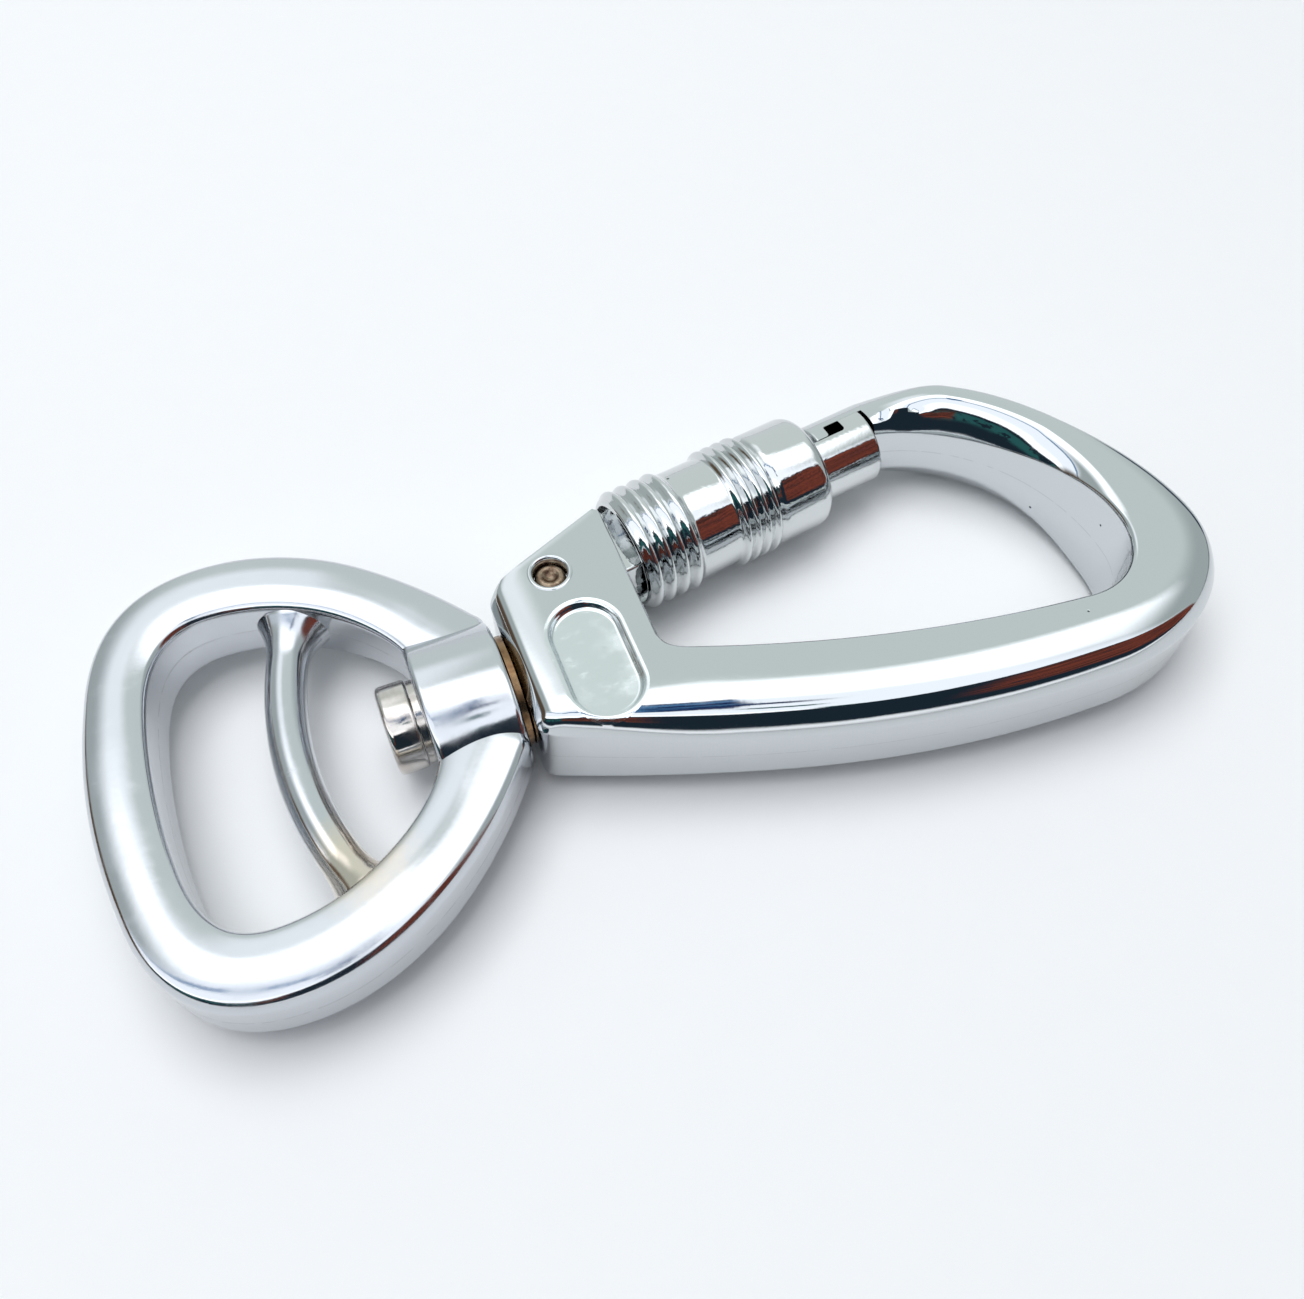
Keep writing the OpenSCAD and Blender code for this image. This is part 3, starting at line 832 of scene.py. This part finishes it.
# %% The locking sleeve
SLEEVE_START, SLEEVE_LENGTH = 7.5, 18.6
BAND, CREST, COLLAR, BORE, WIDE_BORE = 4.9, 5.4, 5.1, 3.58, 4.4
STEP = 5.1  # where the wide bore at the hinge end meets the running bore
sleeve_profile = (
    rolled((0, WIDE_BORE + 0.05), (0, BAND - 0.15), (0.25, BAND - 0.02))
    + humps(0.25, 1.28, 4, BAND, CREST - 0.06)
    + [(5.45, BAND), (5.6, BAND), (5.8, BAND), (7.3, BAND), (9.0, BAND), (9.15, BAND - 0.02)]
    + humps(9.2, 1.0, 4, BAND, CREST - 0.06)
    + [(13.25, BAND - 0.06), (13.4, BAND + 0.02), (13.6, COLLAR - 0.04), (13.9, COLLAR), (15.5, COLLAR)]
    + rolled((SLEEVE_LENGTH - 1.15, COLLAR), (SLEEVE_LENGTH, COLLAR), (SLEEVE_LENGTH, COLLAR - 1.15), 10)
    + [(SLEEVE_LENGTH, BORE + 0.12), (SLEEVE_LENGTH - 0.12, BORE), (STEP, BORE), (STEP, WIDE_BORE),
       (0.05, WIDE_BORE)])
sleeve = turned("locking_sleeve", sleeve_profile, BAR @ Matrix.Translation((SLEEVE_START, 0, 0)))
place(sleeve, "sleeve", "chrome_turned", turned_chrome, "lock_sleeve")

# %% The hinge pin
upright = Matrix.Translation((*PIVOT.xy, 0)) @ Matrix.Rotation(-math.pi / 2, 4, "Y")
PIN_SUNK = 0.42
pin_half = HALF - PIN_SUNK
pin_end = [(pin_half - 0.42, 0.02), (pin_half - 0.4, 0.25), (pin_half - 0.22, 0.52),
           (pin_half - 0.05, 0.66), (pin_half, 0.78), (pin_half - 0.02, 0.95), (pin_half - 0.12, 1.08),
           (pin_half - 0.34, PIN_RADIUS)]
pin = turned("hinge_pin", [(-x, r) for x, r in pin_end] + pin_end[::-1], upright, steps=48, closed=False)
pin_mesh = bmesh.new()
pin_mesh.from_mesh(pin.data)
bmesh.ops.holes_fill(pin_mesh, edges=pin_mesh.edges, sides=0)
tidy_normals(pin_mesh, 50)
pin_mesh.to_mesh(pin.data)
pin_mesh.free()
place(pin, "hook", "rivet_copper", pin_brown, "gate_rivet")

# %% The swivel bolt
HEAD_END = -8.15
bolt_profile = (
    [(HEAD_END - 2.4, 0.01), (HEAD_END - 2.4, 2.9)]
    + rolled((HEAD_END - 2.4, 2.95), (HEAD_END - 2.4, 3.55), (HEAD_END - 1.9, 3.55))
    + [(HEAD_END - 1.0, 3.55)]
    + rolled((HEAD_END - 0.3, 3.55), (HEAD_END, 3.55), (HEAD_END, 3.25))
    + [(HEAD_END, 2.0), (6.9, 2.0), (7.0, 1.9), (7.0, 0.01)])
bolt = turned("swivel_bolt_piece", bolt_profile, Matrix.Identity(4), steps=96, closed=True)
place(bolt, "hook", "bolt_steel", bolt_steel, "swivel_bolt")

# %% [markdown]
# ## The webbing eye
# The eye is a loop of cast bar with a soft ridge along its crown. Its two ends
# run into a hub that turns on the bolt, and a bowed bar crosses it, which the
# webbing is threaded over. The loop uses the hook's own section helper.

# %% The eye's frame
EYE_HALF, EYE_END, HUB_START, HUB_END = 3.4, -32.2, -7.55, -0.65
HUB_RADIUS, HUB_BORE, HUB_WIDENING, DIP_AT_HUB = 4.8, 2.63, 1.32, 0.35


def both_sides(line):
    """A line on the +y side, followed by its mirror image back again."""
    return line + [Vector((p.x, -p.y, 0)) for p in line[-2::-1]]


eye_outer = both_sides(cubic_line(
    ((-0.75, 2.8), (-0.75, 3.8), (-0.75, 4.8), (-0.75, 5.7)),
    ((-0.75, 5.7), (-0.75, 6.3), (-0.98, 6.32), (-1.4, 6.9)),
    ((-1.4, 6.9), (-5.5, 12.6), (-12.5, 18.9), (-20.5, 18.9)),
    ((-20.5, 18.9), (-27.5, 18.9), (-30.2, 14.5), (-31.2, 9.5)),
    ((-31.2, 9.5), (-31.9, 6), (EYE_END, 3), (EYE_END, 0))))
eye_inner = both_sides(cubic_line(
    ((-4.6, 1.4), (-5.4, 2.4), (-6.9, 4.0), (HUB_START, 5)),
    ((HUB_START, 5), (-9, 8.6), (-14.5, 13.4), (-21, 13.4)),
    ((-21, 13.4), (-24.6, 13.4), (-26.2, 11), (-26.8, 7)),
    ((-26.8, 7), (-27.2, 4.5), (-27.3, 2), (-27.3, 0))))
eye_counts = (12, 44, 34, 22, 22, 34, 44, 12)
outer_half = [(-0.75, 2.8), (-1.4, 6.9), (-20, 18.9), (-31.0, 10.4), (EYE_END, 0)]
inner_half = [(-4.6, 1.4), (-6.4, 3.5), (-20.4, 13.4), (-26.7, 7.6), (-27.3, 0)]
eye_outer_marks, eye_inner_marks = (half + [(x, -y) for x, y in half[-2::-1]]
                                    for half in (outer_half, inner_half))
eye_outer_line = along(eye_outer, eye_outer_marks, eye_counts)
eye_inner_line = along(eye_inner, eye_inner_marks, eye_counts)
eye_sections = []
for a, b in zip(eye_outer_line, eye_inner_line):
    width = (b - a).length
    dome = max(0.6, width / 2 - 1.4)
    by_hub = max(0.0, min(1.0, ((a.x + b.x) / 2 + 12.5) / 6.5))
    top = EYE_HALF - DIP_AT_HUB * by_hub * by_hub * (3 - 2 * by_hub)
    eye_sections.append(section((1.0, 1.25, dome, 17, 6, 0.6), (0.7, 0.8, dome, 17, 6, 0.6), width, top))
eye = wrap_bar("webbing_eye", eye_outer_line, eye_inner_line, eye_sections)
print("eye stations:", len(eye_outer_line))

# %% The hub
hub_profile = (
    rolled((HUB_START, HUB_RADIUS - 0.5), (HUB_START, HUB_RADIUS), (HUB_START + 0.5, HUB_RADIUS))
    + rolled((HUB_END - 0.5, HUB_RADIUS), (HUB_END, HUB_RADIUS), (HUB_END, HUB_RADIUS - 0.5))
    + [(HUB_END, HUB_BORE), (HUB_START, HUB_BORE)])
hub = turned("hub", hub_profile, Matrix.Identity(4), steps=96)
# Outside, the hub is an oval that spreads into the arms. Its bore stays round.
for vert in hub.data.vertices:
    if math.hypot(vert.co.y, vert.co.z) > (HUB_RADIUS + HUB_BORE) / 2:
        vert.co.y *= HUB_WIDENING

# %% The crossbar
def tube(name, spine, rings, sides=40):
    """A round bar along a line of points. rings holds (half width, half height)."""
    bm = bmesh.new()
    bmesh.ops.create_grid(bm, x_segments=len(spine) - 1, y_segments=sides, size=1)
    for vert in bm.verts:
        i = round((vert.co.x + 1) / 2 * (len(spine) - 1))
        turn_share = (vert.co.y + 1) / 2
        ahead = (spine[min(i + 1, len(spine) - 1)] - spine[max(i - 1, 0)]).normalized()
        side = ahead.cross(Vector((0, 0, 1)))
        wide, tall = rings[i]
        angle = 2 * math.pi * turn_share
        vert.co = spine[i] + side * (wide * math.cos(angle)) + Vector((0, 0, tall * math.sin(angle)))
    tidy_normals(bm, 60)
    return new_object(name, bm)


BOW_RADIUS, BOW_X, BAR_REACH, BAR_STEPS = 29.0, -17.7, 14.2, 60
BAR_HALF_WIDTH, BAR_HALF_HEIGHT = 1.62, 1.75
bar_points, bar_rings = [], []
for k in range(BAR_STEPS + 1):
    y = -BAR_REACH + 2 * BAR_REACH * k / BAR_STEPS
    x = BOW_X + BOW_RADIUS - math.sqrt(BOW_RADIUS ** 2 - y * y)
    bar_points.append(Vector((x, y, 0)))
    flare = min(1.1, max(0.0, (abs(y) - 8.7) / 3.2))
    wider = 1.35 if y > 0 else 0.75
    bar_rings.append((BAR_HALF_WIDTH + wider * flare ** 2.2, BAR_HALF_HEIGHT + 0.8 * flare ** 2))
crossbar = tube("crossbar", bar_points, bar_rings)
merge_pieces(eye, [hub, crossbar])
place(eye, "eye", "chrome_casting", eye_chrome, "swivel_eye")

# %% [markdown]
# ## The table and the light
# Chrome is mostly a picture of the room. The room here is a plain studio: a
# pale table, a soft grey ceiling in front with white panels overhead, and a dark
# low band behind the camera, which draws the dark line along each lower
# shoulder. The room is written in two measures of a ray's direction. Swing goes
# from 0 at the far horizon, over 0.5 straight up, to 1 behind the camera, and
# sideways goes from -1 on the left to 1 on the right. A wide soft lamp above
# gives the contact shadows.

# %% The table
bm = bmesh.new()
bmesh.ops.create_grid(bm, x_segments=1, y_segments=1, size=1.2)
floor = new_object("table", bm)
floor_paint = bpy.data.materials.new("table_paint")
g = Graph(floor_paint)
speck = g.noise(g.place(), 260, 4, 0.6)
shader = g.node("ShaderNodeBsdfPrincipled", {}, {
    "Base Color": g.blend(speck, (0.90, 0.915, 0.93, 1), (0.915, 0.93, 0.945, 1)),
    "Roughness": 0.75,
    "Specular IOR Level": 0.2,
})
g.node("ShaderNodeOutputMaterial", {}, {"Surface": shader})
floor.data.materials.append(floor_paint)

# %% The room
world = bpy.data.worlds.new("studio")
bpy.context.scene.world = world
g = Graph(world)
ray = g.node("ShaderNodeTexCoord", output="Generated")
away, sideways = (
    g.node("ShaderNodeVectorMath", {"operation": "DOT_PRODUCT"}, {0: ray, 1: direction}, output="Value")
    for direction in ((0.37, 0.929, 0), (0.929, -0.37, 0)))
height = g.node("ShaderNodeSeparateXYZ", {}, {"Vector": ray}, "Z")
swing = g.node("ShaderNodeMath", {"operation": "ARCTAN2"}, {0: height, 1: away}) * (1 / math.pi)
ripple = (g.noise(ray, 2.2, 3, 0.6) - 0.5) * 0.04
# Low behind the camera it is darker, and more so towards the right
to_right = g.node("ShaderNodeMath", {"operation": "MAXIMUM"}, {0: sideways, 1: 0.0})
arc = swing + ripple
edge = (arc + to_right * to_right * 0.45 * g.between(swing, 0.42, 0.62)
        + 0.04 * g.between(sideways, -0.06, 0.04))
grey, white, pale = (0.79, 0.87, 0.85), (2.0, 2.05, 2.1), (1.4, 1.46, 1.55)
sky = g.node("ShaderNodeValToRGB", {"stops": [
    (0.00, (0.80, 0.84, 0.86)), (0.10, grey), (0.335, grey), (0.372, white), (0.50, white),
    (0.52, pale), (0.70, pale), (0.74, white), (0.95, white), (1.0, (0.9, 0.92, 0.95))]}, {"Fac": arc})
stripe = 0.010 + 0.045 * g.between(sideways, 0.035, 0.055) * (1 - g.between(sideways, 0.09, 0.14))
glow = g.between(sideways, -0.08, -0.32) * g.between(swing, 0.17, 0.25)
STRIPE_AT = 0.557
from_stripe = g.node("ShaderNodeMath", {"operation": "ABSOLUTE"}, {0: swing - STRIPE_AT})
navy = (1 - g.between(from_stripe - stripe, -0.006, 0.004)) * (1 - g.between(sideways, 0.16, 0.26))
low_dark = g.between(edge, 0.785, 0.80) * (1 - g.between(arc, 0.955, 0.985))
patches = g.noise(ray, 6.0, 4, 0.65)
in_band = g.between(edge, 0.81, 0.83) * (1 - g.between(arc, 0.87, 0.91))
brick_ends = (g.between(sideways, -0.16, -0.12) * (1 - g.between(sideways, 0.04, 0.10))
              + g.between(sideways, 0.50, 0.62))
brick = in_band * brick_ends * g.between(patches, 0.34, 0.42)
teal = in_band * g.between(sideways, 0.1, -0.1) * (1 - g.between(patches, 0.52, 0.56))
room = g.blend(glow * (1 - g.between(swing, 0.33, 0.37)), sky, (1.25, 1.31, 1.34, 1))
deep = g.between(g.noise(ray, 9, 3, 0.6) + sideways, 0.50, 0.62)
room = g.blend(navy, room, g.blend(deep, (0.10, 0.26, 0.50, 1), (0.003, 0.015, 0.09, 1)))
# Two short bars stand between the ceiling's panels and the low band
upper_bar = (g.between(swing, 0.598, 0.606) * (1 - g.between(swing, 0.628, 0.636))
             * g.between(sideways, 0.12, 0.15) * (1 - g.between(sideways, 0.22, 0.25)))
lower_bar = (g.between(swing, 0.69, 0.70) * (1 - g.between(swing, 0.785, 0.80))
             * g.between(sideways, 0.245, 0.27) * (1 - g.between(sideways, 0.37, 0.39)))
room = g.blend(upper_bar + lower_bar, room, (0.02, 0.11, 0.115, 1))
room = g.blend(low_dark, room, (0.015, 0.028, 0.042, 1))
room = g.blend(teal, room, (0.03, 0.13, 0.13, 1))
streaks = g.between(g.noise(g.stretched(ray, (3, 3, 40)), 1, 4, 0.7), 0.45, 0.56)
room = g.blend(brick, room, g.blend(streaks, (0.28, 0.065, 0.04, 1), (0.07, 0.03, 0.025, 1)))
# Both sides are dimmer in front, and dark brown low down on the far left
beside = g.between(g.node("ShaderNodeMath", {"operation": "ABSOLUTE"}, {0: sideways}), 0.42, 0.75)
room = g.blend(beside * (1 - g.between(swing, 0.5, 0.58)), room, (0.50, 0.56, 0.56, 1))
far_edge = (g.between(swing, 0.03, 0.05) * (1 - g.between(swing, 0.075, 0.095))
            * g.between(sideways, 0.50, 0.56))
room = g.blend(far_edge, room, (0.015, 0.03, 0.07, 1))
room = g.blend(g.between(sideways, -0.90, -0.96), room, (0.13, 0.09, 0.06, 1))
mirror = g.node("ShaderNodeLightPath", output="Is Glossy Ray")
background = g.node("ShaderNodeBackground", {}, {"Color": room, "Strength": mirror * 0.52 + 0.48})
g.node("ShaderNodeOutputWorld", {}, {"Surface": background})

lamp_data = bpy.data.lights.new("overhead", "AREA")
lamp_data.shape = "RECTANGLE"
lamp_data.size, lamp_data.size_y = 0.6, 0.4
lamp_data.energy = 2.45
lamp = bpy.data.objects.new("overhead", lamp_data)
bpy.context.scene.collection.objects.link(lamp)
lamp.location = (-0.08, 0.10, 0.60)
lamp.rotation_euler = (Vector((0, 0, 0)) - lamp.location).to_track_quat("-Z", "Y").to_euler()
lamp.visible_glossy = False
print("lamp energy in watts:", lamp_data.energy)
